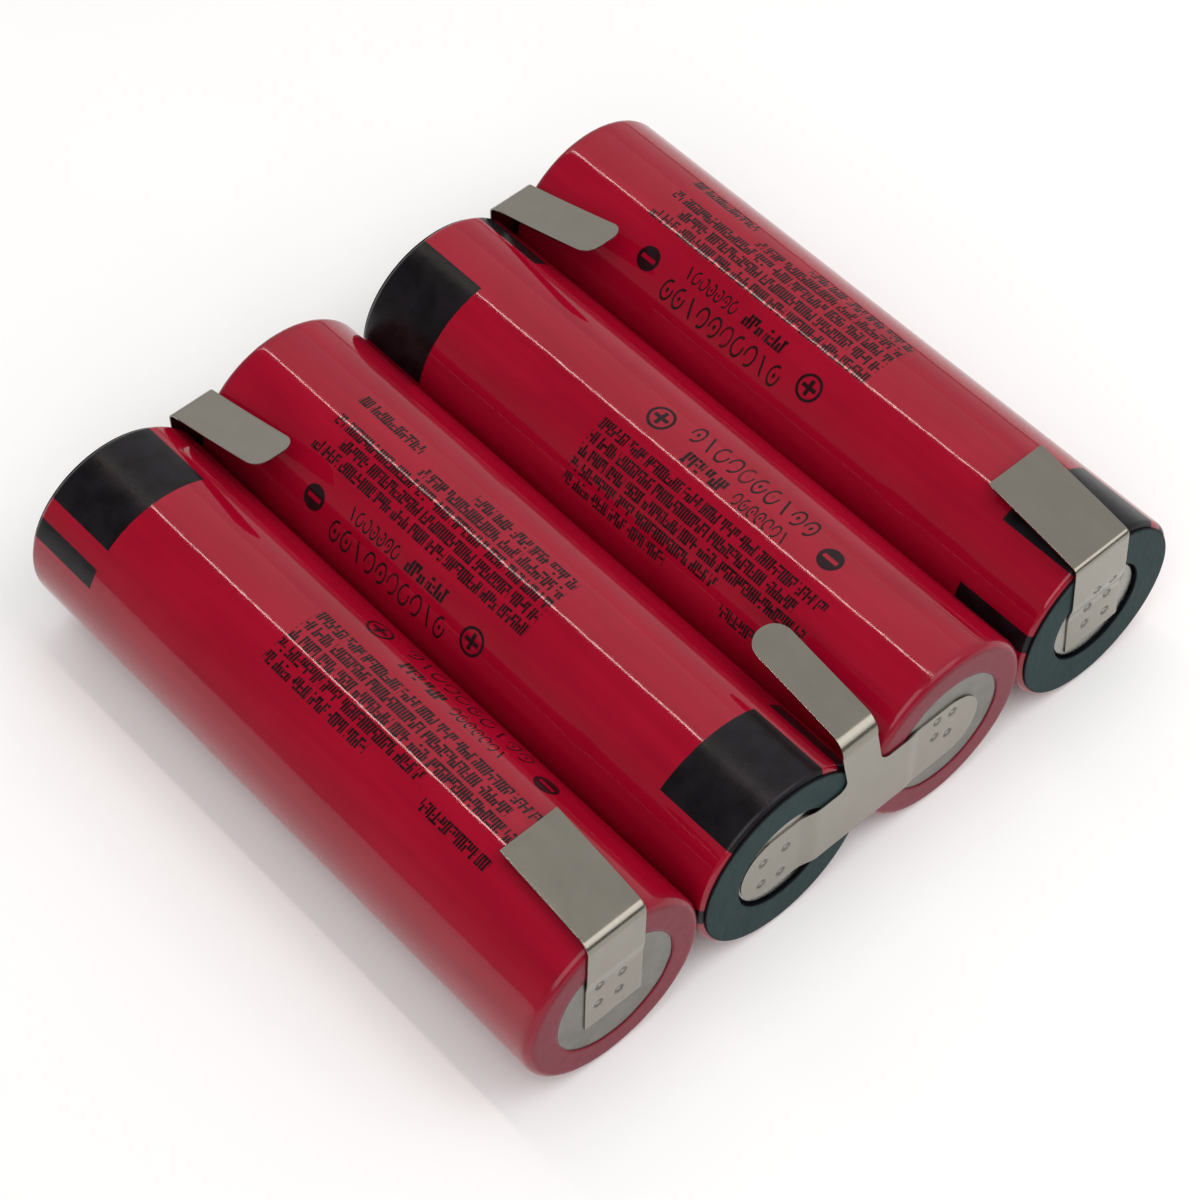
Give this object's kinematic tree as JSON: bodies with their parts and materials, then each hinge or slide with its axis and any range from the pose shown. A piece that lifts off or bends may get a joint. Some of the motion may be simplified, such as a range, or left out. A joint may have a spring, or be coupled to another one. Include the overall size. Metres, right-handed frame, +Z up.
{
  "type": "battery pack",
  "caption": "Flat series pack of cylindrical lithium-ion cells in red sleeves, joined by welded nickel links with folded terminal and balance tabs.",
  "frame": {"origin": "centre of the row of cells, on the surface that the cells lie on", "axes": "+X across the row from the negative terminal to the positive terminal, Y along the cells with both terminals at the -Y ends, +Z up"},
  "size_m": [0.074, 0.066, 0.0203],
  "materials": {
    "red_sleeve": "gloss heat-shrunk film",
    "fish_paper": "matt pressed insulating paper",
    "can_steel": "satin nickel-plated steel",
    "cap_steel": "satin nickel-plated steel",
    "seal_plastic": "matt moulded",
    "ptc_polymer": "matt",
    "vent_aluminium": "satin rolled sheet",
    "insulator_film": "matt film",
    "electrode_foil": "coated foil, wound",
    "nickel_strip": "satin rolled nickel strip",
    "hot_glue": "satin hot-melt"
  },
  "bodies": {
    "root": {"sleeve_1": "red_sleeve", "insulator_ring_1": "fish_paper", "can_1": "can_steel", "seal_1": "seal_plastic", "positive_cap_1": "cap_steel", "ptc_ring_1": "ptc_polymer", "vent_disc_1": "vent_aluminium", "weld_plate_1": "vent_aluminium", "upper_insulator_1": "insulator_film", "electrode_roll_1": "electrode_foil", "lower_insulator_1": "insulator_film", "positive_lead_1": "vent_aluminium", "negative_lead_1": "nickel_strip", "sleeve_2": "red_sleeve", "insulator_ring_2": "fish_paper", "can_2": "can_steel", "seal_2": "seal_plastic", "positive_cap_2": "cap_steel", "ptc_ring_2": "ptc_polymer", "vent_disc_2": "vent_aluminium", "weld_plate_2": "vent_aluminium", "upper_insulator_2": "insulator_film", "electrode_roll_2": "electrode_foil", "lower_insulator_2": "insulator_film", "positive_lead_2": "vent_aluminium", "negative_lead_2": "nickel_strip", "sleeve_3": "red_sleeve", "insulator_ring_3": "fish_paper", "can_3": "can_steel", "seal_3": "seal_plastic", "positive_cap_3": "cap_steel", "ptc_ring_3": "ptc_polymer", "vent_disc_3": "vent_aluminium", "weld_plate_3": "vent_aluminium", "upper_insulator_3": "insulator_film", "electrode_roll_3": "electrode_foil", "lower_insulator_3": "insulator_film", "positive_lead_3": "vent_aluminium", "negative_lead_3": "nickel_strip", "sleeve_4": "red_sleeve", "insulator_ring_4": "fish_paper", "can_4": "can_steel", "seal_4": "seal_plastic", "positive_cap_4": "cap_steel", "ptc_ring_4": "ptc_polymer", "vent_disc_4": "vent_aluminium", "weld_plate_4": "vent_aluminium", "upper_insulator_4": "insulator_film", "electrode_roll_4": "electrode_foil", "lower_insulator_4": "insulator_film", "positive_lead_4": "vent_aluminium", "negative_lead_4": "nickel_strip", "negative_terminal_tab": "nickel_strip", "positive_terminal_tab": "nickel_strip", "link_1_2": "nickel_strip", "link_2_3": "nickel_strip", "link_3_4": "nickel_strip", "glue_bead_1_2": "hot_glue", "glue_bead_2_3": "hot_glue", "glue_bead_3_4": "hot_glue"}
  },
  "joints": []
}
